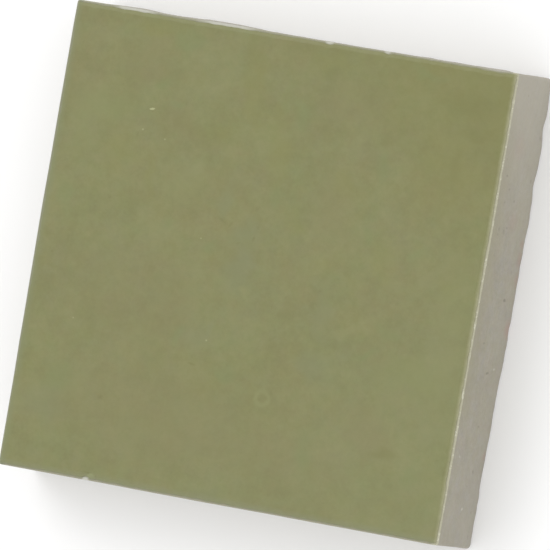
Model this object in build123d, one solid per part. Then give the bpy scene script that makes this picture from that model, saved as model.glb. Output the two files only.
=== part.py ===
"""A square, hand-pressed ceramic tile: a thick bare clay body with a fired glaze coat on its face.

Millimetres. The tile lies on its unglazed back at Z = 0 with the glazed face up.
X runs along the tile, Y across it, and the origin is under its middle.
"""
from build123d import *
import math
import os

# The face, between the tops of the clay's side walls
FACE_LENGTH = 50.0
FACE_WIDTH = 50.0

# The clay body: its walls lean out towards the back by the draft
BODY_THICKNESS = 10.8
DRAFT = 0.16
FACE_CORNER_RADIUS = 0.3
BACK_CORNER_RADIUS = 0.4
ARRIS_RADIUS = 0.14
BACK_EDGE_RADIUS = 0.25
RIM_STEPS = 3

# The glaze coat stops on a bare ledge inside the rolled arris and thins towards its edges
GLAZE_THICKNESS = 0.45
GLAZE_EDGE_THICKNESS = 0.32
GLAZE_EDGE_RADIUS = 0.12
GLAZE_LEDGE = 0.06
GLAZE_RIPPLE = 0.03
GLAZE_RIPPLE_LENGTH = 21.0
CROWN_SHARPNESS = 6
CROWN_STATIONS = 14

# The crowned surface that trims the coat reaches past it by this factor, so that no side is missed
CROWN_SPAN = 1.01

# The most that pressing and trimming left a wall standing out of true
WAVE_REACH = 0.2
WAVE_STATIONS = 40
WAVE_FADE = 0.05
WAVE_FLATNESS = 4

# Flat-topped swells (+) and hollows (-) of each wall: the place of its middle, the reach as a
# share of WAVE_REACH, and half its length. Places and lengths are shares of the wall's straight
# length, and places count from its middle, anticlockwise seen from above.
BACK_WAVES = {
    "right": [
        (0.445, 0.6, 0.025),
        (0.335, 0.7, 0.04),
        (0.21, 0.8, 0.04),
        (0.1, 0.45, 0.06),
        (-0.045, 0.25, 0.07),
        (-0.2, -0.6, 0.05),
        (-0.36, -0.9, 0.09),
    ],
    "rear": [(0.445, 0.65, 0.04), (0.231, 0.75, 0.06), (-0.05, -0.25, 0.08), (-0.4, 0.3, 0.04)],
    "left": [(-0.3, 0.5, 0.09), (0.06, -0.45, 0.1), (0.33, 0.45, 0.08)],
    "front": [(-0.37, 0.4, 0.06), (-0.07, 0.5, 0.12), (0.28, -0.35, 0.09)],
}
FACE_WAVES = {
    "right": [(0.18, 0.15, 0.06)],
    "rear": [(0.378, 0.45, 0.045), (0.158, 0.5, 0.06)],
    "left": [(-0.15, 0.35, 0.3)],
    "front": [(-0.07, 0.1, 0.1)],
}


def wave_reach(waves, place):
    """How far a wall stands out at a place along it, fading to nothing where its corners begin."""
    nearness = min(1, (0.5 - abs(place)) / WAVE_FADE)
    fade = nearness * nearness * (3 - 2 * nearness)
    swell = sum(
        share * math.exp(-(abs((place - middle) / half_length) ** WAVE_FLATNESS) / 2)
        for middle, share, half_length in waves
    )
    return WAVE_REACH * fade * swell


def wavy_outline(length, width, corner_radius, height, waves):
    """A rounded rectangle at a height, with the waves of its four walls."""
    walls = {
        "right": (length / 2, width / 2),
        "rear": (width / 2, length / 2),
        "left": (length / 2, width / 2),
        "front": (width / 2, length / 2),
    }
    edges = []
    for turn, (name, (distance, half_run)) in enumerate(walls.items()):
        straight = half_run - corner_radius
        places = [station / WAVE_STATIONS - 0.5 for station in range(WAVE_STATIONS + 1)]
        points = [(distance + wave_reach(waves[name], place), 2 * straight * place) for place in places]
        wall = Spline(*points, tangents=[(0, 1), (0, 1)])
        corner = CenterArc((distance - corner_radius, straight), corner_radius, 0, 90)
        edges += [edge.rotate(Axis.Z, 90 * turn) for edge in (wall, corner)]
    return Pos(0, 0, height) * make_face(edges)


def rolled_rim(length, width, corner_radius, waves, wall_end, rim_radius, rise):
    """The quarter-round from the end of the walls to a flat face, rising (+1) or falling (-1)."""
    sections = []
    for step in range(RIM_STEPS + 1):
        angle = math.pi / 2 * step / RIM_STEPS
        inset = rim_radius * (1 - math.cos(angle))
        height = wall_end + rise * rim_radius * math.sin(angle)
        sections.append(wavy_outline(length - 2 * inset, width - 2 * inset, corner_radius - inset, height, waves))
    return loft(sections)


def make_clay_body():
    """The bare body: walls lofted from the back to the face, with a rolled rim at each end."""
    back = (FACE_LENGTH + 2 * DRAFT, FACE_WIDTH + 2 * DRAFT, BACK_CORNER_RADIUS)
    face = (FACE_LENGTH, FACE_WIDTH, FACE_CORNER_RADIUS)
    arris_height = BODY_THICKNESS - ARRIS_RADIUS
    walls = loft(
        [
            wavy_outline(*back, BACK_EDGE_RADIUS, BACK_WAVES),
            wavy_outline(*face, arris_height, FACE_WAVES),
        ]
    )
    back_rim = rolled_rim(*back, BACK_WAVES, BACK_EDGE_RADIUS, BACK_EDGE_RADIUS, -1)
    arris = rolled_rim(*face, FACE_WAVES, arris_height, ARRIS_RADIUS, 1)
    return walls + back_rim + arris


def glaze_height(x_share, y_share):
    """The glaze's top above the clay, at shares from -1 to 1 of the coat's half length and width."""
    crown = (1 - abs(x_share) ** CROWN_SHARPNESS) * (1 - abs(y_share) ** CROWN_SHARPNESS)
    x = x_share * FACE_LENGTH / 2
    y = y_share * FACE_WIDTH / 2
    turn = 2 * math.pi / GLAZE_RIPPLE_LENGTH
    ripple = GLAZE_RIPPLE * math.sin(turn * (x + 0.4 * y)) * math.cos(turn * (0.8 * y - 0.3 * x))
    return GLAZE_EDGE_THICKNESS + (GLAZE_THICKNESS - GLAZE_EDGE_THICKNESS + ripple) * crown


def make_glaze_coat():
    """The fired coat: a slab on the clay's flat face, trimmed to a crowned and faintly rippled top."""
    setback = ARRIS_RADIUS + GLAZE_LEDGE
    length = FACE_LENGTH - 2 * setback
    width = FACE_WIDTH - 2 * setback
    corner_radius = max(FACE_CORNER_RADIUS - setback, GLAZE_EDGE_RADIUS)
    shares = [CROWN_SPAN * (2 * station / CROWN_STATIONS - 1) for station in range(CROWN_STATIONS + 1)]
    crowned_top = Face.make_surface_from_array_of_points(
        [[(x * length / 2, y * width / 2, glaze_height(x, y)) for x in shares] for y in shares]
    )
    slab_height = 2 * GLAZE_THICKNESS
    slab = extrude(RectangleRounded(length, width, corner_radius), slab_height)
    coat = slab - extrude(crowned_top, slab_height, dir=(0, 0, 1))
    top_edges = coat.edges().filter_by(lambda edge: edge.bounding_box().min.Z > GLAZE_EDGE_THICKNESS / 2)
    return Pos(0, 0, BODY_THICKNESS) * fillet(top_edges, GLAZE_EDGE_RADIUS)


os.makedirs("parts", exist_ok=True)
export_step(make_clay_body(), "parts/clay_body.step")
export_step(make_glaze_coat(), "parts/glaze_coat.step")
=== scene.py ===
"""The looks of a square hand-pressed tile: satin olive glaze over a thick body of bare fired clay.

Shapes are worked out in millimetres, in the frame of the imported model, and made in metres.
The tile lies on its back at Z = 0. Its four walls are counted anticlockwise seen from above:
right (+X), rear (+Y), left (-X) and front (-Y).
"""
import bpy
import math
import numpy as np
from mathutils import Matrix, Vector, noise


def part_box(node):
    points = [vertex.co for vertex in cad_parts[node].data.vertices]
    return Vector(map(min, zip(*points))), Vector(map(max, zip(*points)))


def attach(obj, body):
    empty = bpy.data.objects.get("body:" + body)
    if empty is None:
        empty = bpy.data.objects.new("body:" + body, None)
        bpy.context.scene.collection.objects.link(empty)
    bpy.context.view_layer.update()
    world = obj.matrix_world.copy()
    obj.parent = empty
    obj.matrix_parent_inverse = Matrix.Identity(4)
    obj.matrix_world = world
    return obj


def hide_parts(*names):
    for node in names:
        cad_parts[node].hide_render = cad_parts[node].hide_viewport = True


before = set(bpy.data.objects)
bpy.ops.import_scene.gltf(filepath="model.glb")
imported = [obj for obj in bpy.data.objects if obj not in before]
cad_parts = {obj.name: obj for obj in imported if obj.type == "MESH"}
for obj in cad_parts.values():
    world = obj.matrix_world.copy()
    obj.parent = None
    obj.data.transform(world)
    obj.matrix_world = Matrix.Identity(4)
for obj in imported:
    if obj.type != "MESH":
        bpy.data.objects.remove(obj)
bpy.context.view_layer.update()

MM = 0.001
BODY_LOW, BODY_HIGH = (np.array(corner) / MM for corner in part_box("clay_body"))
BODY_TOP = BODY_HIGH[2]
TILE_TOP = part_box("glaze_coat")[1][2] / MM

# The clay body: its walls lean out towards the back by the draft
FACE_SIDE = 50.0
DRAFT = 0.16
FACE_CORNER_RADIUS = 0.3
BACK_CORNER_RADIUS = 0.4
ARRIS_RADIUS = 0.14
BACK_EDGE_RADIUS = 0.25

# The glaze coat stops on a bare ledge inside the rolled arris, and thins down to a low lip there
GLAZE_SETBACK = 0.2
GLAZE_EDGE_THICKNESS = 0.32
GLAZE_LIP = 0.05
GLAZE_ROLL = 0.38
CROWN_SHARPNESS = 6

# Flat-topped swells (+) and hollows (-) of each wall: place from its middle, reach in
# millimetres, and half its length. Places and lengths are shares of the wall's straight length.
BACK_WAVES = (
    (
        (0.445, 0.12, 0.025),
        (0.335, 0.14, 0.04),
        (0.21, 0.16, 0.04),
        (0.1, 0.09, 0.06),
        (-0.045, 0.05, 0.07),
        (-0.2, -0.12, 0.05),
        (-0.36, -0.18, 0.09),
        (-0.415, 0.08, 0.025),
    ),
    (
        (0.445, 0.13, 0.04),
        (0.298, -0.1, 0.006),
        (0.231, 0.15, 0.06),
        (-0.05, -0.05, 0.08),
        (-0.4, 0.06, 0.04),
        (-0.455, -0.15, 0.03),
    ),
    ((-0.3, 0.1, 0.09), (0.06, -0.09, 0.1), (0.33, 0.09, 0.08)),
    ((-0.37, 0.08, 0.06), (-0.07, 0.1, 0.12), (0.28, -0.07, 0.09)),
)
FACE_WAVES = (
    ((0.18, 0.03, 0.06),),
    ((0.378, 0.09, 0.045), (0.225, -0.08, 0.006), (0.158, 0.1, 0.06), (-0.46, -0.1, 0.025)),
    ((-0.15, 0.07, 0.3),),
    ((-0.07, 0.02, 0.1),),
)
WAVE_FADE = 0.05
WAVE_FLATNESS = 4

# Chips that draw the glaze's edge in, in the same terms
GLAZE_CHIPS = (
    ((0.12, 0.05, 0.006), (-0.37, 0.08, 0.008)),
    ((0.225, 0.06, 0.006), (-0.075, 0.1, 0.008), (-0.21, 0.08, 0.007), (-0.46, 0.05, 0.025)),
    ((0.01, 0.12, 0.007),),
    ((-0.303, 0.16, 0.006), (-0.28, 0.06, 0.008)),
)

# Steps of the meshes
BODY_SIDE_STEPS = 280
COAT_SIDE_STEPS = 256
CORNER_STEPS = 4
WALL_STEPS = 48
RIM_STEPS = 5
LEAST_CORNER_RADIUS = 0.1

# How far in from an edge the rings on the flat faces lie
BODY_RING_INSETS = (0.5, 0.9, 1.5, 2.6)
COAT_RING_INSETS = (1.6, 0.8, 0)

# Relief in millimetres, which stays inside the model's box by the margin
MARGIN = 0.002
UNDULATION = 0.03
DRAG = 0.006
EDGE_WEAR = 0.09
EDGE_WEAR_HEIGHT = 2.5
BACK_ROUGHNESS = 0.05
CORNER_PULL = 0.16
CORNER_SPAN = 4.0
GLAZE_SWELL = 0.02
ORANGE_PEEL = 0.004
GLAZE_CREEP = 0.04
GLAZE_RAGGEDNESS = 0.08
MOST_CREEP_IN = 0.1
MOST_CREEP_OUT = 0.05


def wobble(points, size, seed):
    """Smooth noise between about -1 and 1 at each point, with one size or one along each axis."""
    shift = seed * np.array([17.3, 5.7, 11.9])
    return np.array([noise.noise(Vector(point)) for point in points / np.array(size) + shift])


def swell(waves, places):
    """How far waves stand out at each place along a wall, fading out where its corners begin."""
    nearness = np.clip((0.5 - np.abs(places)) / WAVE_FADE, 0, 1)
    fade = nearness * nearness * (3 - 2 * nearness)
    humps = (
        reach * np.exp(-(((places - at) / half_length) ** WAVE_FLATNESS) / 2)
        for at, reach, half_length in waves
    )
    return fade * sum(humps)


def outline(side, corner_radius, steps, waves):
    """A ring of 4 * steps points round a wavy square, from the middle of its front right corner."""
    places = np.linspace(-0.5, 0.5, steps - 2 * CORNER_STEPS + 1)
    bend = np.linspace(0, math.pi / 4, CORNER_STEPS + 1)
    lead_in, lead_out = bend[:-1] - math.pi / 4, bend[1:]
    centre = side / 2 - corner_radius
    walls = []
    for turn in range(4):
        run_in = [centre + corner_radius * np.cos(lead_in), -centre + corner_radius * np.sin(lead_in)]
        straight = [side / 2 + swell(waves[turn], places), 2 * centre * places]
        run_out = [centre + corner_radius * np.cos(lead_out), centre + corner_radius * np.sin(lead_out)]
        out, along = np.concatenate([run_in, straight, run_out], axis=1)[:, :-1]
        cosine, sine = ((1, 0), (0, 1), (-1, 0), (0, -1))[turn]
        walls.append(np.column_stack([out * cosine - along * sine, out * sine + along * cosine]))
    return np.concatenate(walls)


def outwards(points):
    """The level direction from the tile's middle line to each point, one long on the nearest wall."""
    level = points * (1, 1, 0)
    return level / np.abs(level).max(axis=1, keepdims=True)


class Shell:
    """The points and faces of one closed piece, put together ring by ring from its underside up."""

    def __init__(self):
        self.points = []
        self.faces = []
        self.count = 0

    def add(self, points):
        """Adds points and gives back their numbers."""
        numbers = np.arange(self.count, self.count + len(points))
        self.points.append(points)
        self.count += len(points)
        return numbers

    def join(self, lower, upper):
        """Faces between a ring and the one above it, which has as many points, half or twice."""
        lower_next, upper_next = np.roll(lower, -1), np.roll(upper, -1)
        if len(lower) == len(upper):
            corners = [[lower, lower_next, upper_next, upper]]
        elif len(lower) > len(upper):
            start, middle, end = lower[::2], lower[1::2], lower_next[1::2]
            corners = [[start, middle, upper], [middle, upper_next, upper], [middle, end, upper_next]]
        else:
            start, middle, end = upper[::2], upper[1::2], upper_next[1::2]
            corners = [[lower, middle, start], [lower, lower_next, middle], [lower_next, end, middle]]
        for face in corners:
            self.faces += np.stack(face, axis=1).tolist()

    def cap(self, ring, edge, surface, facing):
        """Fills a ring with a grid at the heights surface(inner points), facing up (1) or down (-1)."""
        steps = len(ring) // 4
        share = np.linspace(0, 1, steps + 1)
        loop = np.append(edge[:, :2], edge[:1, :2], axis=0)
        right, rear, left, front = (loop[k * steps : (k + 1) * steps + 1] for k in range(4))
        along, across = share[None, :, None], share[:, None, None]
        grid = (1 - across) * front[None] + across * rear[None, ::-1]
        grid = grid + (1 - along) * left[::-1, None] + along * right[:, None]
        grid = grid - (1 - along) * ((1 - across) * front[0] + across * rear[-1])
        grid = grid - along * ((1 - across) * right[0] + across * right[-1])
        inner = grid[1:-1, 1:-1].reshape(-1, 2)
        heights = surface(inner)
        numbers = np.empty((steps + 1, steps + 1), dtype=int)
        numbers[1:-1, 1:-1] = self.add(np.column_stack([inner, heights])).reshape(steps - 1, steps - 1)
        loop = np.append(ring, ring[0])
        numbers[:, -1] = loop[: steps + 1]
        numbers[-1, :] = loop[steps : 2 * steps + 1][::-1]
        numbers[:, 0] = loop[2 * steps : 3 * steps + 1][::-1]
        numbers[0, :] = loop[3 * steps :]
        quads = np.stack([numbers[:-1, :-1], numbers[:-1, 1:], numbers[1:, 1:], numbers[1:, :-1]], axis=-1)
        self.faces += quads.reshape(-1, 4)[:, ::facing].tolist()

    def piece(self, name):
        """The finished object, in metres."""
        mesh = bpy.data.meshes.new(name)
        mesh.from_pydata((np.concatenate(self.points) * MM).tolist(), [], self.faces)
        mesh.shade_smooth()
        thing = bpy.data.objects.new(name, mesh)
        bpy.context.scene.collection.objects.link(thing)
        return thing


def stack(shell, rings):
    """Joins rings of points from the lowest to the highest, and gives back the first and the last."""
    numbered = [(shell.add(ring), ring) for ring in rings]
    for (lower, _), (upper, _) in zip(numbered, numbered[1:]):
        shell.join(lower, upper)
    return numbered[0], numbered[-1]


def clay_ring(height, inset, steps):
    """The clay's outline at a height, drawn in by an inset, with the waves of its walls."""
    rise = (height - BACK_EDGE_RADIUS) / (BODY_TOP - ARRIS_RADIUS - BACK_EDGE_RADIUS)
    rise = min(max(rise, 0), 1)
    side = FACE_SIDE + 2 * DRAFT * (1 - rise) - 2 * inset
    corner_radius = BACK_CORNER_RADIUS + (FACE_CORNER_RADIUS - BACK_CORNER_RADIUS) * rise - inset
    waves = [
        [(at, reach * (1 - rise), half_length) for at, reach, half_length in back]
        + [(at, reach * rise, half_length) for at, reach, half_length in face]
        for back, face in zip(BACK_WAVES, FACE_WAVES)
    ]
    ring = outline(side, max(corner_radius, LEAST_CORNER_RADIUS), steps, waves)
    return np.column_stack([ring, np.full(len(ring), height)])


def worn(points):
    """Wall points moved by slow undulation, the drag of the trimming wire and the wear of the back edge.

    The front right corner stands in a little towards the back.
    """
    lowness = np.clip(1 - points[:, 2] / EDGE_WEAR_HEIGHT, 0, 1)
    relief = UNDULATION * wobble(points, (6, 6, 4), 1) + DRAG * wobble(points, (8, 8, 0.5), 2)
    relief += EDGE_WEAR * lowness**2 * wobble(points, (1.7, 1.7, 2.5), 3)
    moved = points + outwards(points) * relief[:, None]
    from_corner = np.hypot(points[:, 0] - FACE_SIDE / 2, points[:, 1] + FACE_SIDE / 2)
    pull = CORNER_PULL * np.clip(1 - from_corner / CORNER_SPAN, 0, 1)
    moved[:, 0] -= pull * (1 - points[:, 2] / BODY_TOP)
    return np.clip(moved, BODY_LOW + MARGIN, BODY_HIGH - MARGIN) * (1, 1, 0) + points * (0, 0, 1)


def struck_back(inner):
    """Heights of the back: struck off flat, with faint roughness rising into the clay."""
    points = np.column_stack([inner, np.zeros(len(inner))])
    scrape = wobble(points, (1.2, 7, 1), 8)
    grain = wobble(points, (2.2, 2.2, 1), 9)
    return BACK_ROUGHNESS * np.clip(0.6 * scrape + 0.5 * grain, 0, 1)


def make_clay_body():
    """The thick bare body: rounded back edge, walls with their wear, rolled arris and bare ledge."""
    fine, half, coarse, coarsest = (BODY_SIDE_STEPS // divisor for divisor in (1, 2, 4, 8))
    roll = np.linspace(0, math.pi / 2, RIM_STEPS + 1)
    arris_start = BODY_TOP - ARRIS_RADIUS
    heights = np.linspace(BACK_EDGE_RADIUS, arris_start, WALL_STEPS + 1)[1:-1]
    back = [(0, BODY_RING_INSETS[1], half), (0, BODY_RING_INSETS[0], fine)]
    back += [
        (BACK_EDGE_RADIUS * (1 - math.cos(angle)), BACK_EDGE_RADIUS * (1 - math.sin(angle)), fine)
        for angle in roll
    ]
    walls = [(height, 0, fine) for height in heights]
    arris = [
        (arris_start + ARRIS_RADIUS * math.sin(angle), ARRIS_RADIUS * (1 - math.cos(angle)), fine)
        for angle in roll
    ]
    ledge_steps = (fine, half, coarse, coarsest)
    ledge = [(BODY_TOP, inset, steps) for inset, steps in zip(BODY_RING_INSETS, ledge_steps)]
    rings = [clay_ring(height, inset, steps) for height, inset, steps in back + walls + arris + ledge]
    rings = [worn(ring) if len(ring) == 4 * fine else ring for ring in rings]
    shell = Shell()
    (lowest, low_edge), (highest, high_edge) = stack(shell, rings)
    shell.cap(lowest, low_edge, struck_back, -1)
    shell.cap(highest, high_edge, lambda inner: np.full(len(inner), BODY_TOP), 1)
    return shell.piece("clay_body_detail")


def glaze_top(inner):
    """Heights of the pooled glaze: crowned, gently rippled, and level with the model's top at most."""
    share = np.clip(np.abs(inner) / (FACE_SIDE / 2 - GLAZE_SETBACK), 0, 1) ** CROWN_SHARPNESS
    crown = (1 - share[:, 0]) * (1 - share[:, 1])
    points = np.column_stack([inner, np.zeros(len(inner))])
    ripple = GLAZE_SWELL * wobble(points, 9, 4) + ORANGE_PEEL * wobble(points, 1.5, 5)
    most = TILE_TOP - BODY_TOP - GLAZE_EDGE_THICKNESS - GLAZE_SWELL - ORANGE_PEEL
    return BODY_TOP + GLAZE_EDGE_THICKNESS + crown * (most + ripple)


def make_glaze_coat():
    """The fired coat, whose edge creeps and chips a little and rolls over to the bare ledge."""
    fine, half, coarse = (COAT_SIDE_STEPS // divisor for divisor in (1, 2, 4))
    rise = GLAZE_EDGE_THICKNESS - GLAZE_LIP
    profile = [(BODY_TOP, inset, steps) for inset, steps in zip(COAT_RING_INSETS, (coarse, half, fine))]
    profile += [
        (BODY_TOP + GLAZE_LIP + rise * math.sin(angle), GLAZE_ROLL * (1 - math.cos(angle)), fine)
        for angle in np.linspace(0, math.pi / 2, RIM_STEPS + 1)
    ]
    chips = [
        [(at, -reach, half_length) for at, reach, half_length in wall_chips]
        for wall_chips in GLAZE_CHIPS
    ]
    rings = []
    for height, inset, steps in profile:
        side = FACE_SIDE - 2 * GLAZE_SETBACK - 2 * inset
        corner_radius = max(FACE_CORNER_RADIUS - GLAZE_SETBACK - inset, LEAST_CORNER_RADIUS)
        ring = outline(side, corner_radius, steps, chips)
        level = np.column_stack([ring, np.zeros(len(ring))])
        creep = GLAZE_CREEP * wobble(level, 3, 6) + GLAZE_RAGGEDNESS * wobble(level, 0.8, 7)
        creep = np.clip(creep, -MOST_CREEP_IN, MOST_CREEP_OUT)
        rings.append(level + outwards(level) * creep[:, None] + (0, 0, height))
    shell = Shell()
    (lowest, low_edge), (highest, high_edge) = stack(shell, rings)
    shell.cap(lowest, low_edge, lambda inner: np.full(len(inner), BODY_TOP), -1)
    shell.cap(highest, high_edge, glaze_top, 1)
    return shell.piece("glaze_coat_detail")


PIT_INPUTS = (
    ("Pit Radius", "NodeSocketFloat"),
    ("Pit Depth", "NodeSocketFloat"),
    ("Pits per Square Metre", "NodeSocketFloat"),
    ("Tilt From", "NodeSocketFloat"),
    ("Tilt To", "NodeSocketFloat"),
    ("Seed", "NodeSocketInt"),
    ("Skin", "NodeSocketMaterial"),
)
SMALLEST_PIT = 0.35
SQUARE_CM_PER_SQUARE_METRE = 10000.0

# Sockets that share their names with others of their node, counted from 0
RANDOM_LEAST, RANDOM_MOST, RANDOM_RESULT = 2, 3, 1
MIX_FIRST, MIX_SECOND, MIX_RESULT = 6, 7, 2


def make_pit_tree():
    """Round pits of random size, sunk where the skin's upward tilt lies between two limits."""
    tree = bpy.data.node_groups.new("pits", "GeometryNodeTree")
    tree.interface.new_socket("Geometry", in_out="INPUT", socket_type="NodeSocketGeometry")
    tree.interface.new_socket("Geometry", in_out="OUTPUT", socket_type="NodeSocketGeometry")
    for name, kind in PIT_INPUTS:
        tree.interface.new_socket(name, in_out="INPUT", socket_type=kind)
    given = tree.nodes.new("NodeGroupInput").outputs

    def node(kind, settings=None, values=None):
        added = tree.nodes.new(kind)
        for name, setting in (settings or {}).items():
            setattr(added, name, setting)
        for name, value in (values or {}).items():
            if isinstance(value, bpy.types.NodeSocket):
                tree.links.new(value, added.inputs[name])
            else:
                added.inputs[name].default_value = value
        return added

    def worked(operation, first, second):
        return node("ShaderNodeMath", {"operation": operation}, {0: first, 1: second}).outputs[0]

    normal = node("GeometryNodeInputNormal").outputs[0]
    place = node("GeometryNodeInputPosition").outputs[0]
    tilt = node("ShaderNodeSeparateXYZ", values={0: normal}).outputs["Z"]
    over = worked("GREATER_THAN", tilt, given["Tilt From"])
    under = worked("LESS_THAN", tilt, given["Tilt To"])
    scattered = node(
        "GeometryNodeDistributePointsOnFaces",
        {"distribute_method": "RANDOM"},
        {
            "Mesh": given["Geometry"],
            "Selection": worked("MULTIPLY", over, under),
            "Density": given["Pits per Square Metre"],
            "Seed": given["Seed"],
        },
    ).outputs["Points"]
    nearest = node(
        "GeometryNodeSampleNearest",
        {"domain": "POINT"},
        {"Geometry": scattered, "Sample Position": place},
    ).outputs[0]
    share = node(
        "FunctionNodeRandomValue",
        {"data_type": "FLOAT"},
        {RANDOM_LEAST: SMALLEST_PIT, RANDOM_MOST: 1.0, "ID": nearest, "Seed": given["Seed"]},
    ).outputs[RANDOM_RESULT]
    distance = node(
        "GeometryNodeProximity",
        {"target_element": "POINTS"},
        {0: scattered, "Sample Position": place},
    ).outputs["Distance"]
    rim = worked("MULTIPLY", given["Pit Radius"], share)
    bowl = node(
        "ShaderNodeMapRange",
        {"interpolation_type": "SMOOTHSTEP"},
        {"Value": distance, "From Min": rim, "From Max": 0.0},
    ).outputs[0]
    depth = worked("MULTIPLY", worked("MULTIPLY", bowl, share), given["Pit Depth"])
    drop = worked("MULTIPLY", depth, -1.0)
    offset = node("ShaderNodeVectorMath", {"operation": "SCALE"}, {0: normal, "Scale": drop}).outputs[0]
    sunk = node(
        "GeometryNodeSetPosition", values={"Geometry": given["Geometry"], "Offset": offset}
    ).outputs[0]
    earlier = node(
        "GeometryNodeInputNamedAttribute", {"data_type": "FLOAT"}, {"Name": "pit"}
    ).outputs["Attribute"]
    marked = node(
        "GeometryNodeStoreNamedAttribute",
        {"data_type": "FLOAT", "domain": "POINT"},
        {"Geometry": sunk, "Name": "pit", "Value": worked("MAXIMUM", bowl, earlier)},
    ).outputs[0]
    whole = node("GeometryNodeRealizeInstances", values={"Geometry": marked}).outputs[0]
    skinned = node(
        "GeometryNodeSetMaterial", values={"Geometry": whole, "Material": given["Skin"]}
    ).outputs[0]
    node("NodeGroupOutput", values={0: skinned})
    return tree


def sink_pits(piece, tree, material, radius, depth, per_square_cm, tilt, seed):
    """Runs the pit tree on a piece and keeps the result as its plain mesh. Millimetres."""
    density = per_square_cm * SQUARE_CM_PER_SQUARE_METRE
    values = (radius * MM, depth * MM, density, tilt[0], tilt[1], seed, material)
    modifier = piece.modifiers.new("pits", "NODES")
    modifier.node_group = tree
    sockets = {item.name: item.identifier for item in tree.interface.items_tree if item.in_out == "INPUT"}
    for (name, _), value in zip(PIT_INPUTS, values):
        modifier[sockets[name]] = value
    evaluated = piece.evaluated_get(bpy.context.evaluated_depsgraph_get())
    pitted = bpy.data.meshes.new_from_object(evaluated)
    piece.modifiers.clear()
    piece.data = pitted


class Value:
    """A number that a shader works out at each point. An expression on it adds Math nodes."""

    def __init__(self, paint, socket):
        self.paint = paint
        self.socket = socket

    def __add__(self, other):
        return self.paint.maths("ADD", self, other)

    def __sub__(self, other):
        return self.paint.maths("SUBTRACT", self, other)

    def __rsub__(self, other):
        return self.paint.maths("SUBTRACT", other, self)

    def __mul__(self, other):
        return self.paint.maths("MULTIPLY", self, other)

    def __or__(self, other):
        return self.paint.maths("MAXIMUM", self, other)

    def __abs__(self):
        return self.paint.maths("ABSOLUTE", self)

    __radd__ = __add__
    __rmul__ = __mul__
    __ror__ = __or__


# How bright this light makes a white of each surface, and the sheen that adds to its pigment
GLAZE_LIGHT = 1.165
GLAZE_SHEEN = 0.05
CLAY_LIGHT = 1.12
CLAY_SHEEN = 0.022

# Each seed moves the noise on by these many of its sizes
SEED_STEPS = (3.7, 7.1, 1.3)
NOISE_ROUGHNESS = 0.95
EDGE_NOISE_DETAIL = 3.0


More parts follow.
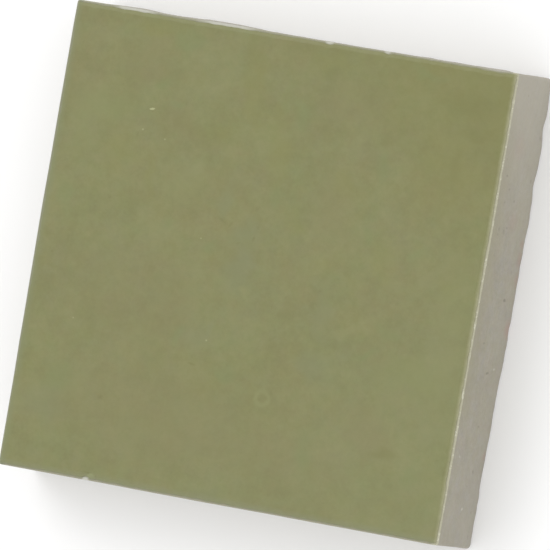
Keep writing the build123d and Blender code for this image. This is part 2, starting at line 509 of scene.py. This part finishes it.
class Paint:
    """The nodes of one material, on coordinates that are counted in metres from the tile's origin."""

    def __init__(self, name, light=1.0, sheen=0.0):
        self.light = light
        self.sheen = sheen
        self.material = bpy.data.materials.new(name)
        self.material.use_nodes = True
        self.tree = self.material.node_tree
        self.shader = self.tree.nodes["Principled BSDF"]
        self.place = self.node("ShaderNodeTexCoord").outputs["Object"]
        ways = self.node("ShaderNodeSeparateXYZ", values={0: self.place}).outputs
        self.x, self.y, self.z = (Value(self, way) * (1 / MM) for way in ways)

    def node(self, kind, settings=None, values=None):
        """Adds a node: its settings first, then the values or links of its sockets."""
        added = self.tree.nodes.new(kind)
        for name, setting in (settings or {}).items():
            setattr(added, name, setting)
        for name, value in (values or {}).items():
            self.feed(added.inputs[name], value)
        return added

    def feed(self, socket, value):
        """Links a value to a socket, or sets it."""
        source = value.socket if isinstance(value, Value) else value
        if isinstance(source, bpy.types.NodeSocket):
            self.tree.links.new(source, socket)
        else:
            socket.default_value = source

    def maths(self, operation, *terms):
        """A Math node on values or numbers."""
        added = self.node("ShaderNodeMath", {"operation": operation}, dict(enumerate(terms)))
        return Value(self, added.outputs[0])

    def vector(self, operation, values):
        """The outputs of a Vector Math node."""
        return self.node("ShaderNodeVectorMath", {"operation": operation}, values).outputs

    def noise(self, size, seed, detail):
        """Fractal noise around 0, mostly between -0.3 and 0.3.

        The size is in millimetres, or one size along each axis.
        """
        sizes = size if isinstance(size, tuple) else (size, size, size)
        scaled = self.node(
            "ShaderNodeMapping",
            values={
                "Vector": self.place,
                "Location": tuple(seed * step for step in SEED_STEPS),
                "Scale": tuple(1 / (length * MM) for length in sizes),
            },
        ).outputs[0]
        values = {"Vector": scaled, "Scale": 1.0, "Detail": detail, "Roughness": NOISE_ROUGHNESS}
        return Value(self, self.node("ShaderNodeTexNoise", values=values).outputs[0]) - 0.5

    def attribute(self, name):
        """A number that the piece keeps at its points."""
        return Value(self, self.node("ShaderNodeAttribute", {"attribute_name": name}).outputs["Fac"])

    def step(self, value, start, end):
        """Goes smoothly from 0 where the value is at the start to 1 where it is at the end."""
        values = {"Value": value, "From Min": start, "From Max": end}
        ramp = self.node("ShaderNodeMapRange", {"interpolation_type": "SMOOTHSTEP"}, values)
        return Value(self, ramp.outputs[0])

    def mix(self, amount, first, second):
        """The first colour, turning into the second as the amount goes from 0 to 1."""
        values = {0: amount, MIX_FIRST: first, MIX_SECOND: second}
        return self.node("ShaderNodeMix", {"data_type": "RGBA"}, values).outputs[MIX_RESULT]

    def sway(self, amount, colour, over, under):
        """The colour, turned towards one tint where the amount is above 0 and to another below it."""
        colour = self.mix(amount | 0.0, colour, self.tint(*over))
        return self.mix((0 - amount) | 0.0, colour, self.tint(*under))

    def ragged(self, reach, size):
        """The place, shifted a little by noise, so that what is drawn on it has an uneven edge."""
        values = {"Vector": self.place, "Scale": 1 / (size * MM), "Detail": EDGE_NOISE_DETAIL}
        cloud = self.node("ShaderNodeTexNoise", values=values).outputs["Color"]
        middle = self.vector("SUBTRACT", {0: cloud, 1: (0.5, 0.5, 0.5)})[0]
        shift = self.vector("SCALE", {0: middle, "Scale": 2 * reach * MM})[0]
        return self.vector("ADD", {0: self.place, 1: shift})[0]

    def spot(self, place, middle, size, turn=0.0, softness=0.5):
        """An oval mark: 1 inside, going smoothly to 0 at its rim. Millimetres and degrees."""
        local = self.node(
            "ShaderNodeMapping",
            {"vector_type": "TEXTURE"},
            {
                "Vector": place,
                "Location": tuple(length * MM for length in middle),
                "Rotation": (0, 0, math.radians(turn)),
                "Scale": tuple(length / 2 * MM for length in size),
            },
        ).outputs[0]
        distance = self.vector("LENGTH", {0: local})["Value"]
        return self.step(distance, 1 + softness / 2, 1 - softness)

    def tint(self, red, green, blue):
        """The pigment that looks like a screen colour from 0 to 255, in this light and under this sheen."""
        shares = [value / 255 for value in (red, green, blue)]
        seen = [share / 12.92 if share <= 0.04045 else ((share + 0.055) / 1.055) ** 2.4 for share in shares]
        return tuple((value - self.sheen) / self.light for value in seen) + (1.0,)

    def bump(self, height, distance):
        """A normal that shows a fine grain, with heights around 0 and a distance in millimetres."""
        values = {"Height": height, "Distance": distance * MM, "Strength": 1.0}
        return self.node("ShaderNodeBump", values=values).outputs[0]


# Clouds in the glaze: a name, how much they tint it, their colour, and for each one its middle x
# and y, length, width, turn anticlockwise in degrees, and strength. Their outlines drift a little.
GLAZE_CLOUDS = (
    (
        "mauve_cloud",
        0.45,
        (142, 137.5, 102.5),
        (
            (-15.6, 19.8, 7.0, 6.0, 60, 0.9),
            (-11.3, 14.0, 3.6, 3.2, 0, 0.9),
            (7.9, 18.8, 8.0, 5.0, 0, 0.7),
            (7.4, 8.1, 10.0, 5.0, 100, 0.8),
            (15.3, -14.8, 8.0, 4.6, 150, 1.0),
            (-7.5, -5.0, 8.0, 5.0, 90, 0.6),
            (-17.2, -2.5, 8.0, 5.0, 0, 0.6),
            (-8.0, -17.0, 26.0, 11.0, 0, 0.8),
            (-12.0, -5.0, 18.0, 12.0, 0, 0.5),
            (5.0, -19.0, 16.0, 7.0, 0, 0.7),
            (-3.4, 8.7, 3.0, 2.4, 0, 0.6),
        ),
    ),
    (
        "green_cloud",
        0.5,
        (141, 145.5, 102),
        (
            (-19.7, 14.4, 7.0, 4.4, 0, 1.0),
            (-21.6, 11.1, 3.4, 2.2, 100, 0.8),
            (18.8, -8.3, 8.5, 4.6, 0, 1.0),
        ),
    ),
    (
        "straw_cloud",
        0.36,
        (141, 141, 93),
        (
            (-3.5, 19.4, 9.5, 3.0, 100, 1.0),
            (0.2, 12.9, 8.0, 3.4, 100, 0.9),
            (3.1, 5.9, 3.4, 2.6, 100, 0.8),
            (-6.2, 13.6, 3.4, 2.2, 0, 0.9),
            (-17.3, 10.0, 5.0, 4.2, 0, 0.8),
            (-13.5, 7.7, 6.0, 1.6, 95, 0.8),
            (13.9, 3.3, 4.6, 2.6, 100, 0.8),
            (8.1, 10.9, 3.2, 2.0, 100, 0.8),
            (21.7, 1.6, 3.0, 2.6, 0, 0.9),
            (7.3, 1.6, 2.4, 2.2, 0, 0.7),
            (-15.6, 23.4, 5.0, 1.6, 0, 0.8),
            (18.8, 14.1, 10.0, 7.0, 95, 0.8),
            (4.7, 23.0, 6.0, 1.6, 0, 0.8),
        ),
    ),
    (
        "teal_cloud",
        0.5,
        (134.5, 142.5, 101.5),
        (
            (12.1, 13.0, 2.8, 2.6, 100, 0.8),
            (2.6, 16.5, 4.0, 2.2, 110, 0.8),
            (-19.7, -15.1, 4.4, 3.4, 0, 0.8),
            (8.8, -18.3, 3.4, 2.4, 100, 0.8),
            (-11.6, 22.5, 3.4, 1.6, 0, 0.9),
            (-13.3, 17.8, 2.0, 1.6, 60, 0.8),
            (-11.7, 16.0, 1.4, 1.2, 0, 0.9),
            (1.1, 8.0, 3.0, 2.0, 110, 0.9),
            (-5.3, 1.9, 2.0, 1.6, 0, 0.8),
            (-10.2, 3.3, 2.4, 1.4, 130, 0.8),
            (-1.6, -11.5, 2.8, 1.8, 140, 0.9),
            (15.9, -4.3, 2.4, 2.2, 0, 0.8),
            (13.6, -6.8, 3.0, 0.9, 20, 0.9),
            (11.6, 5.6, 2.4, 1.2, 100, 0.7),
            (17.5, 4.2, 1.8, 1.8, 0, 0.9),
            (21.0, -18.5, 3.0, 2.0, 100, 0.7),
            (-7.3, -8.3, 2.6, 1.4, 70, 0.9),
            (-22.6, 4.4, 3.0, 1.4, 100, 0.7),
            (15.3, 23.3, 4.0, 1.2, 0, 0.8),
        ),
    ),
    (
        "dark_cloud",
        0.5,
        (131, 130, 89),
        (
            (20.7, 20.6, 6.0, 3.0, 0, 0.7),
            (22.0, 18.2, 6.0, 1.4, 0, 0.8),
            (17.5, -16.6, 3.4, 1.4, 10, 0.8),
            (4.9, 21.9, 2.4, 1.4, 0, 0.7),
            (20.0, 14.3, 3.4, 1.4, 80, 0.6),
            (-11.0, 14.2, 2.4, 1.6, 60, 0.5),
        ),
    ),
    (
        "light_cloud",
        0.4,
        (148, 149, 110),
        (
            (22.0, -4.0, 24.0, 5.0, 90, 0.8),
            (-9.0, 8.0, 6.0, 5.0, 90, 0.8),
            (-22.0, 14.0, 9.0, 4.0, 90, 0.6),
        ),
    ),
    (
        "milky_cloud",
        0.6,
        (139, 141.5, 108.5),
        (
            (-4.5, 6.7, 4.0, 2.0, 88, 0.8),
            (-1.5, 3.7, 3.6, 2.8, 60, 0.8),
            (-1.8, 0.3, 7.2, 3.4, 95, 1.0),
            (-5.4, -8.2, 4.0, 3.0, 20, 0.7),
            (-3.9, -7.2, 3.4, 1.0, 70, 0.8),
            (8.1, -3.0, 6.6, 2.8, 97, 0.7),
            (8.4, -9.0, 4.4, 3.6, 0, 0.8),
            (-20.9, -18.0, 6.0, 4.6, 0, 0.6),
            (-0.9, -24.1, 4.5, 1.2, 0, 0.6),
        ),
    ),
    (
        "pale_cloud",
        0.75,
        (147, 147, 107),
        (
            (-0.7, -2.5, 1.8, 1.0, 0, 1.0),
            (11.3, -4.8, 3.0, 1.4, 20, 0.7),
            (18.3, -14.3, 2.6, 0.5, 125, 0.7),
        ),
    ),
)
CLOUD_DRIFT = 1.1
CLOUD_DRIFT_SIZE = 2.0
CLOUD_SOFTNESS = 0.8

# Marks in the glaze, each with its middle x and y, length, width, turn and strength
# Nicks and pinholes in the glaze, each with a painted highlight
HIGHLIT_NICKS = (
    (-14.45, 14.9, 0.62, 0.2, 14, 1.0),
    (-15.1, 12.6, 0.26, 0.24, 0, 0.5),
    (-12.45, 11.92, 0.22, 0.18, 0, 0.5),
    (-6.56, 2.33, 0.22, 0.18, 30, 0.5),
    (-19.26, -8.3, 0.2, 0.18, 0, 0.4),
    (-4.05, -8.15, 0.22, 0.2, 0, 0.6),
)
DARK_MARKS = (
    (-4.6, 4.6, 1.4, 0.35, 150, 0.5),
    (-3.55, 4.3, 0.9, 0.3, 60, 0.5),
    (-0.8, 3.2, 0.8, 0.3, 80, 0.6),
    (-2.4, 2.5, 0.6, 0.3, 30, 0.5),
    (-5.27, -10.88, 1.0, 0.25, -8, 0.7),
    (-15.6, 12.0, 0.9, 0.25, 70, 0.5),
    (0.55, -11.65, 0.8, 0.25, 20, 0.4),
    (-14.33, 14.65, 0.3, 0.2, 0, 0.6),
    (-24.6, -0.55, 0.22, 0.3, 0, 0.8),
    (-22.91, -1.76, 0.35, 0.3, 0, 0.6),
    (-14.75, -24.12, 0.95, 0.16, 0, 0.9),
    (-13.75, -24.55, 0.2, 0.6, 20, 0.8),
)
CHIP_GREEN = (-14.35, -24.5, 0.95, 0.6, 0, 1.0)
RING_MIDDLE = (3.2, -13.15)
RING_INNER = 0.5
RING_OUTER = 0.95
RING_FADE_INSIDE = 0.2
RING_FADE_OUTSIDE = 0.25
MARK_DEPTH = 8.0

# Stretches of the ledge that the glaze left bare
BARE_LEDGE = (
    (-18.3, 25.0, 4.6, 1.5, 0, 1.0),
    (-7.7, 25.0, 6.2, 1.5, 0, 1.0),
    (3.72, 25.0, 0.9, 0.8, 0, 0.9),
    (10.27, 25.0, 0.7, 0.8, 0, 0.8),
    (-15.0, -24.95, 0.75, 0.9, 0, 1.0),
)


def face_marks(paint, place, marks, softness=0.5):
    """One mask for a list of marks on the face."""
    mask = 0.0
    for x, y, length, width, turn, strength in marks:
        size = (length, width, MARK_DEPTH)
        mask = paint.spot(place, (x, y, TILE_TOP), size, turn, softness) * strength | mask
    return mask


def cloud_cover(points, clouds):
    """How far clouds cover each point, from 0 to 1."""
    cover = np.zeros(len(points))
    for x, y, length, width, turn, strength in clouds:
        cosine, sine = math.cos(math.radians(turn)), math.sin(math.radians(turn))
        away = points[:, :2] - (x, y)
        along = 2 * (away[:, 0] * cosine + away[:, 1] * sine) / length
        across = 2 * (away[:, 1] * cosine - away[:, 0] * sine) / width
        share = np.clip((1 + CLOUD_SOFTNESS / 2 - np.hypot(along, across)) / (1.5 * CLOUD_SOFTNESS), 0, 1)
        cover = np.maximum(cover, strength * share * share * (3 - 2 * share))
    return cover


def keep_clouds(piece):
    """Keeps the cover of each kind of cloud at the points of the coat."""
    points = np.array([vertex.co for vertex in piece.data.vertices]) / MM
    for axis in (0, 1):
        points[:, axis] += CLOUD_DRIFT * wobble(points * (1, 1, 0), CLOUD_DRIFT_SIZE, 10 + axis)
    for name, _, _, clouds in GLAZE_CLOUDS:
        layer = piece.data.attributes.new(name, "FLOAT", "POINT")
        layer.data.foreach_set("value", cloud_cover(points, clouds))


# Tints of the glaze, as they look on a screen
BROWNER_GLAZE = (141.6, 138.2, 100.8)
GREENER_GLAZE = (138.6, 142.4, 101.8)
STRAW_GLAZE = (140, 139.5, 92)
GREYER_GLAZE = (140.5, 140, 111)
LIGHTER_GLAZE = (148, 147.5, 108)
DARKER_GLAZE = (132, 131.5, 94)
GLAZE_STREAK = (128, 128, 88)
GLAZE_FLECK = (157, 160, 119)
# Painted light and painted shade over the face of the glaze
PAINTED_FRONT_CORNER_LIGHT = (148, 151, 116)
PAINTED_REAR_CORNER_SHADE = (134, 132, 85)
FIRING_RING = (149, 151, 110)
DARK_MARK = (126, 125, 86)
# Painted highlight in the glaze's nicks and pinholes
NICK_HIGHLIGHT = (178, 180, 138)
CHIPPED_GLAZE = (156, 161, 119)
# Pale thin glaze on the right lip, with a painted highlight
THIN_LIP_HIGHLIGHT = (180, 178, 150)
# Painted shade in the glaze's pits
GLAZE_PIT_SHADE = (122, 120, 84)


def cloudy_glaze(paint):
    """The glaze's colour away from its edges: noise at several sizes and the clouds of the fired glaze, with
    painted light towards the front right corner and painted shade towards the rear right corner.
    """
    hue = 2.0 * (paint.noise(8, 1, detail=3) + 0.5 * paint.noise(2.0, 2, detail=3))
    colour = paint.mix(hue + 0.5, paint.tint(*BROWNER_GLAZE), paint.tint(*GREENER_GLAZE))
    straw = 1.2 * (paint.noise(9, 21, detail=3) + 0.6 * paint.noise(2.2, 22, detail=3))
    colour = paint.sway(straw, colour, STRAW_GLAZE, GREYER_GLAZE)
    tone = paint.noise(9, 3, detail=3) + 0.7 * paint.noise(2.2, 4, detail=3)
    tone = 2.2 * (tone + 0.45 * paint.noise(0.8, 9, detail=2))
    colour = paint.sway(tone, colour, LIGHTER_GLAZE, DARKER_GLAZE)
    streaks = paint.step(paint.noise((0.25, 0.7, 1.0), 27, detail=2), 0.16, 0.3)
    colour = paint.mix(0.4 * streaks, colour, paint.tint(*GLAZE_STREAK))
    flecks = paint.step(paint.noise((0.4, 0.25, 1.0), 28, detail=2), 0.2, 0.34)
    colour = paint.mix(0.4 * flecks, colour, paint.tint(*GLAZE_FLECK))
    # Painted light towards the front right corner, and painted shade towards the rear right corner
    painted_corner_light = paint.step(paint.x - paint.y, 5, 60)
    colour = paint.mix(0.22 * painted_corner_light, colour, paint.tint(*PAINTED_FRONT_CORNER_LIGHT))
    painted_corner_shade = paint.step(paint.y + 0.5 * paint.x, 14, 36)
    colour = paint.mix(0.35 * painted_corner_shade, colour, paint.tint(*PAINTED_REAR_CORNER_SHADE))
    for name, amount, seen, _ in GLAZE_CLOUDS:
        colour = paint.mix(amount * paint.attribute(name), colour, paint.tint(*seen))
    return colour


def marked_glaze(paint, colour):
    """The colour with the firing ring, the nicks and pinholes with their painted highlights, and the dark
    marks.
    """
    ragged = paint.ragged(0.12, 0.5)
    middle = (RING_MIDDLE[0] * MM, RING_MIDDLE[1] * MM, TILE_TOP * MM)
    from_middle = Value(paint, paint.vector("DISTANCE", {0: ragged, 1: middle})["Value"]) * (1 / MM)
    crest = (RING_INNER + RING_OUTER) / 2
    inside = paint.step(from_middle, RING_INNER - RING_FADE_INSIDE, crest)
    outside = paint.step(from_middle, RING_OUTER + RING_FADE_OUTSIDE, crest)
    colour = paint.mix(0.5 * (inside * outside), colour, paint.tint(*FIRING_RING))
    dark_marks = face_marks(paint, ragged, DARK_MARKS, 0.8)
    colour = paint.mix(0.6 * dark_marks, colour, paint.tint(*DARK_MARK))
    # Painted highlights in the nicks and pinholes
    colour = paint.mix(face_marks(paint, ragged, HIGHLIT_NICKS), colour, paint.tint(*NICK_HIGHLIGHT))
    chip = face_marks(paint, ragged, (CHIP_GREEN,))
    return paint.mix(0.8 * chip, colour, paint.tint(*CHIPPED_GLAZE))


def make_olive_glaze():
    """Satin olive glaze, cloudy and marked by its firing, paler where it thins towards its edges, with a
    painted highlight on its thin right lip and painted shade in its pits.
    """
    paint = Paint("olive_glaze", light=GLAZE_LIGHT, sheen=GLAZE_SHEEN)
    colour = marked_glaze(paint, cloudy_glaze(paint))
    half = FACE_SIDE / 2 - GLAZE_SETBACK
    patchy = 0.7 * paint.noise(1.2, 5, detail=3)
    thinnest = 0.0
    for towards, reach, amount, seen in (
        (paint.x, 0.55, 0.4, (149, 148, 107)),
        (paint.y, 0.45, 0.36, (157, 158, 124)),
        (0 - paint.x, 1.0, 0.6, (141, 145, 113)),
        (0 - paint.y, 0.8, 0.7, (146, 148, 118)),
    ):
        thin = paint.step(towards + patchy, half - reach, half)
        colour = paint.mix(amount * thin, colour, paint.tint(*seen))
        thinnest = thin | thinnest
    # The thin right lip of the glaze: paler thin glaze with a painted highlight over it
    lit_lip = paint.step(paint.x + 0.4 * patchy, half - 0.5, half + 0.15)
    colour = paint.mix(0.9 * (lit_lip * lit_lip), colour, paint.tint(*THIN_LIP_HIGHLIGHT))
    # Painted shade in the pits
    colour = paint.mix(0.4 * paint.attribute("pit"), colour, paint.tint(*GLAZE_PIT_SHADE))

    paint.feed(paint.shader.inputs["Base Color"], colour)
    paint.feed(paint.shader.inputs["Roughness"], 0.42 + 0.2 * paint.noise(3, 6, detail=3) + 0.1 * thinnest)
    grain = paint.noise(0.5, 7, detail=2) + 0.5 * paint.noise(1.6, 8, detail=2)
    paint.feed(paint.shader.inputs["Normal"], paint.bump(grain, 0.012))
    return paint.material


# Marks on the right wall: y, z, length along the wall, height, and strength
WALL_SPECKS = (
    (14.29, 9.1, 0.25, 0.6, 0.6),
    (12.92, 7.7, 0.25, 0.6, 0.5),
    (11.5, 8.5, 0.25, 0.5, 0.5),
    (11.75, 5.7, 0.3, 0.6, 0.5),
    (8.87, 6.6, 0.25, 0.6, 0.5),
    (8.07, 9.0, 0.3, 0.5, 0.4),
    (1.3, 3.3, 0.4, 0.9, 1.0),
    (-6.52, 4.6, 0.35, 0.9, 0.9),
    (-3.4, 7.3, 0.25, 0.6, 0.5),
    (-12.2, 4.2, 0.25, 0.7, 0.5),
)
WALL_PALE_SPECKS = ((-21.0, 5.1, 0.3, 0.6, 1.0), (-6.02, 2.8, 0.3, 0.7, 0.7), (-15.5, 8.7, 0.25, 0.5, 0.5))
WALL_STAINS = (
    (7.4, 0.9, 1.2, 1.2, 0.7),
    (5.7, 0.8, 1.8, 1.6, 0.8),
    (3.6, 0.7, 1.6, 1.4, 0.7),
    (-1.7, 0.7, 2.2, 2.2, 1.0),
    (-15.3, 0.7, 1.0, 1.2, 0.8),
    (9.5, 4.8, 2.2, 3.0, 0.35),
    (17.5, 6.9, 3.0, 3.5, 0.3),
)
WALL_MARK_DEPTH = 3.0

# Tints of the clay, as they look on a screen
WARM_CLAY = (165, 155.5, 143.5)
GREENISH_CLAY = (159, 159, 141.5)
STRAW_CLAY = (163, 158.5, 137)
GREY_CLAY = (161, 157, 151)
LIGHTER_CLAY = (178, 173, 160)
DARKER_CLAY = (142, 138, 123)
REAR_CLAY = (180, 175, 163)
FRONT_CLAY = (168, 163, 154)
LOW_CLAY = (182, 177, 163)
HIGH_CLAY = (157, 152, 129)
RED_STAIN = (174, 150, 140)
DARK_SPECK = (128, 123, 110)
PALE_SPECK = (190, 185, 172)
# Painted shade in the clay's pits
CLAY_PIT_SHADE = (132, 127, 114)
BACK_EDGE_GREY = (168, 164, 162)
PLAIN_ARRIS = (162, 161, 138)
# Glaze smear on the left arris, darkened by painted shade
LEFT_ARRIS_SHADED = (146, 148, 124)
# Pale thin glaze smear on the right arris with a painted highlight, and painted glints along it
RIGHT_ARRIS_CREAM_AND_HIGHLIGHT = (186, 183, 160)
ARRIS_PAINTED_GLINT = (216, 215, 196)
BARE_CLAY = (203, 202, 190)
BARE_CLAY_OUTSIDE = (160, 157, 151)

# How far from the middle an arris of its own colour begins, and where it is full
ARRIS_BEGINS = 24.0
ARRIS_FULL = 24.6


def wall_marks(paint, place, marks, softness=0.5):
    """One mask for a list of marks on the right wall."""
    mask = 0.0
    for y, z, length, height, strength in marks:
        size = (WALL_MARK_DEPTH, length, height)
        mask = paint.spot(place, (FACE_SIDE / 2, y, z), size, 0.0, softness) * strength | mask
    return mask


def mottled_clay(paint):
    """The bare clay's colour: warm, greenish, straw and grey mottling, lighter towards the walls' ends."""
    hue = 1.5 * (paint.noise(3.2, 11, detail=4) + 0.5 * paint.noise(0.8, 19, detail=2))
    colour = paint.mix(hue + 0.5, paint.tint(*WARM_CLAY), paint.tint(*GREENISH_CLAY))
    straw = 3.0 * (paint.noise(3.4, 23, detail=3) + 0.4 * paint.noise(0.9, 24, detail=2))
    colour = paint.sway(straw, colour, STRAW_CLAY, GREY_CLAY)
    tone = 1.8 * paint.noise(3.0, 12, detail=4) + 1.2 * paint.noise(1.1, 13, detail=3)
    colour = paint.sway(tone, colour, LIGHTER_CLAY, DARKER_CLAY)
    colour = paint.mix(0.6 * paint.step(paint.y, 2, 26), colour, paint.tint(*REAR_CLAY))
    colour = paint.mix(0.25 * paint.step(paint.y, -10, -24), colour, paint.tint(*FRONT_CLAY))
    below = paint.step(paint.z, 7, 0)
    colour = paint.mix(0.3 * below, colour, paint.tint(*LOW_CLAY))
    above = paint.step(paint.z + 2 * paint.noise(2.5, 25, detail=3), 5.5, BODY_TOP)
    middle = paint.step(paint.y, -13, -9) * paint.step(paint.y, 24, 12)
    return paint.mix(0.4 * above * (0.3 + middle), colour, paint.tint(*HIGH_CLAY))


def make_fired_clay():
    """Bare fired clay, mottled and marked, with a cream arris beside the glaze's thin edge: a painted
    highlight and glints over it on the right, painted shade on the left arris, and painted shade in the
    pits.
    """
    paint = Paint("fired_clay", light=CLAY_LIGHT, sheen=CLAY_SHEEN)
    colour = mottled_clay(paint)
    ragged = paint.ragged(0.15, 0.6)
    stains = wall_marks(paint, ragged, WALL_STAINS, 0.9)
    colour = paint.mix(0.6 * stains, colour, paint.tint(*RED_STAIN))
    colour = paint.mix(0.7 * wall_marks(paint, ragged, WALL_SPECKS), colour, paint.tint(*DARK_SPECK))
    colour = paint.mix(wall_marks(paint, ragged, WALL_PALE_SPECKS), colour, paint.tint(*PALE_SPECK))
    # Painted shade in the pits
    colour = paint.mix(0.5 * paint.attribute("pit"), colour, paint.tint(*CLAY_PIT_SHADE))
    back_edge = paint.step(paint.z + 0.8 * paint.noise(2.5, 14, detail=3), 0.7, 0.0)
    colour = paint.mix(0.4 * back_edge, colour, paint.tint(*BACK_EDGE_GREY))

    uneven = paint.z + 0.25 * paint.noise(0.7, 26, detail=2)
    arris = paint.step(uneven, BODY_TOP - 0.16, BODY_TOP - 0.05)
    colour = paint.mix(0.8 * arris, colour, paint.tint(*PLAIN_ARRIS))
    # The left arris: glaze smear darkened by painted shade
    left = arris * paint.step(paint.x, -ARRIS_BEGINS, -ARRIS_FULL)
    colour = paint.mix(0.8 * left, colour, paint.tint(*LEFT_ARRIS_SHADED))
    bare = face_marks(paint, ragged, BARE_LEDGE)
    colour = paint.mix(arris * bare, colour, paint.tint(*BARE_CLAY))
    outer = paint.step(abs(paint.y), FACE_SIDE / 2 - 0.02, FACE_SIDE / 2 + 0.03)
    colour = paint.mix(0.4 * (outer * bare), colour, paint.tint(*BARE_CLAY_OUTSIDE))
    # The right arris: pale thin glaze smear with a painted highlight over it, and painted glints along it
    right = arris * paint.step(paint.x, ARRIS_BEGINS, ARRIS_FULL)
    colour = paint.mix(right, colour, paint.tint(*RIGHT_ARRIS_CREAM_AND_HIGHLIGHT))
    painted_glint = paint.step(paint.noise(0.9, 15, detail=3), 0.03, 0.16)
    colour = paint.mix(0.8 * (right * painted_glint), colour, paint.tint(*ARRIS_PAINTED_GLINT))

    paint.feed(paint.shader.inputs["Base Color"], colour)
    paint.feed(paint.shader.inputs["Roughness"], 0.85 + 0.2 * paint.noise(1.5, 16, detail=3))
    grain = paint.noise(0.4, 17, detail=3) + paint.noise(1.2, 18, detail=3)
    paint.feed(paint.shader.inputs["Normal"], paint.bump(grain, 0.03))
    return paint.material


olive_glaze = make_olive_glaze()
fired_clay = make_fired_clay()
pit_tree = make_pit_tree()

clay_body = make_clay_body()
sink_pits(
    clay_body, pit_tree, fired_clay, radius=0.4, depth=0.1, per_square_cm=4.0, tilt=(-0.5, 0.5), seed=3
)
sink_pits(
    clay_body, pit_tree, fired_clay, radius=0.8, depth=0.15, per_square_cm=2.0, tilt=(-1.1, -0.9), seed=4
)
glaze_coat = make_glaze_coat()
keep_clouds(glaze_coat)
sink_pits(
    glaze_coat, pit_tree, olive_glaze, radius=0.35, depth=0.05, per_square_cm=0.7, tilt=(0.9, 1.1), seed=5
)

for piece, node, slot in ((clay_body, "clay_body", "fired_clay"), (glaze_coat, "glaze_coat", "olive_glaze")):
    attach(piece, "root")
    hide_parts(node)

# The stage: a plain white floor in the even light of a white studio, with one soft lamp
FLOOR_REACH = 3.0
FLOOR_WHITE = 0.93
FLOOR_ROUGHNESS = 0.9
floor_mesh = bpy.data.meshes.new("floor")
floor_corners = [(x * FLOOR_REACH, y * FLOOR_REACH, 0) for x, y in ((-1, -1), (1, -1), (1, 1), (-1, 1))]
floor_mesh.from_pydata(floor_corners, [], [(0, 1, 2, 3)])
floor = bpy.data.objects.new("floor", floor_mesh)
bpy.context.scene.collection.objects.link(floor)
floor_paint = Paint("white_floor")
floor_paint.feed(floor_paint.shader.inputs["Base Color"], (FLOOR_WHITE, FLOOR_WHITE, FLOOR_WHITE, 1))
floor_paint.feed(floor_paint.shader.inputs["Roughness"], FLOOR_ROUGHNESS)
floor_mesh.materials.append(floor_paint.material)

STUDIO_STRENGTH = 1.12
LAMP_POWER = 12.0
LAMP_SIDE = 1.5
LAMP_PLACE = Vector((-1.3, 1.5, 2.2))
studio = bpy.data.worlds.new("studio")
studio.use_nodes = True
studio.node_tree.nodes["Background"].inputs["Color"].default_value = (1, 1, 1, 1)
studio.node_tree.nodes["Background"].inputs["Strength"].default_value = STUDIO_STRENGTH
bpy.context.scene.world = studio
lamp = bpy.data.objects.new("lamp", bpy.data.lights.new("lamp", "AREA"))
lamp.data.energy = LAMP_POWER
lamp.data.size = LAMP_SIDE
lamp.matrix_world = Matrix.Translation(LAMP_PLACE) @ LAMP_PLACE.to_track_quat("Z", "Y").to_matrix().to_4x4()
bpy.context.scene.collection.objects.link(lamp)
bpy.context.scene.view_settings.view_transform = "Standard"

# The camera looks down on the face, a little from its right, where the photograph's did
YAW, PITCH, ROLL = (math.radians(angle) for angle in (19.63, 0.79, 9.77))
DISTANCE = 1044.0
PIXELS_PER_MM = 9.506
PICTURE_SIDE = 550
FACE_MIDDLE_PIXEL = (255.9, 270.3)
FACE_PLANE = 10.98
SENSOR = 36.0
VIEW_REACH = 10.0
turned = Matrix.Rotation(-ROLL, 3, "Z") @ Matrix.Rotation(PITCH, 3, "X") @ Matrix.Rotation(-YAW, 3, "Y")
aside = (FACE_MIDDLE_PIXEL[0] - PICTURE_SIDE / 2) / PIXELS_PER_MM
above = (PICTURE_SIDE / 2 - FACE_MIDDLE_PIXEL[1]) / PIXELS_PER_MM
eye = turned.transposed() @ Vector((-aside, -above, DISTANCE)) + Vector((0, 0, FACE_PLANE))
camera = bpy.data.objects.new("camera", bpy.data.cameras.new("camera"))
camera.matrix_world = Matrix.Translation(eye * MM) @ turned.transposed().to_4x4()
camera.data.sensor_width = SENSOR
camera.data.lens = PIXELS_PER_MM * DISTANCE / PICTURE_SIDE * SENSOR
camera.data.clip_end = VIEW_REACH
bpy.context.scene.collection.objects.link(camera)
bpy.context.scene.camera = camera
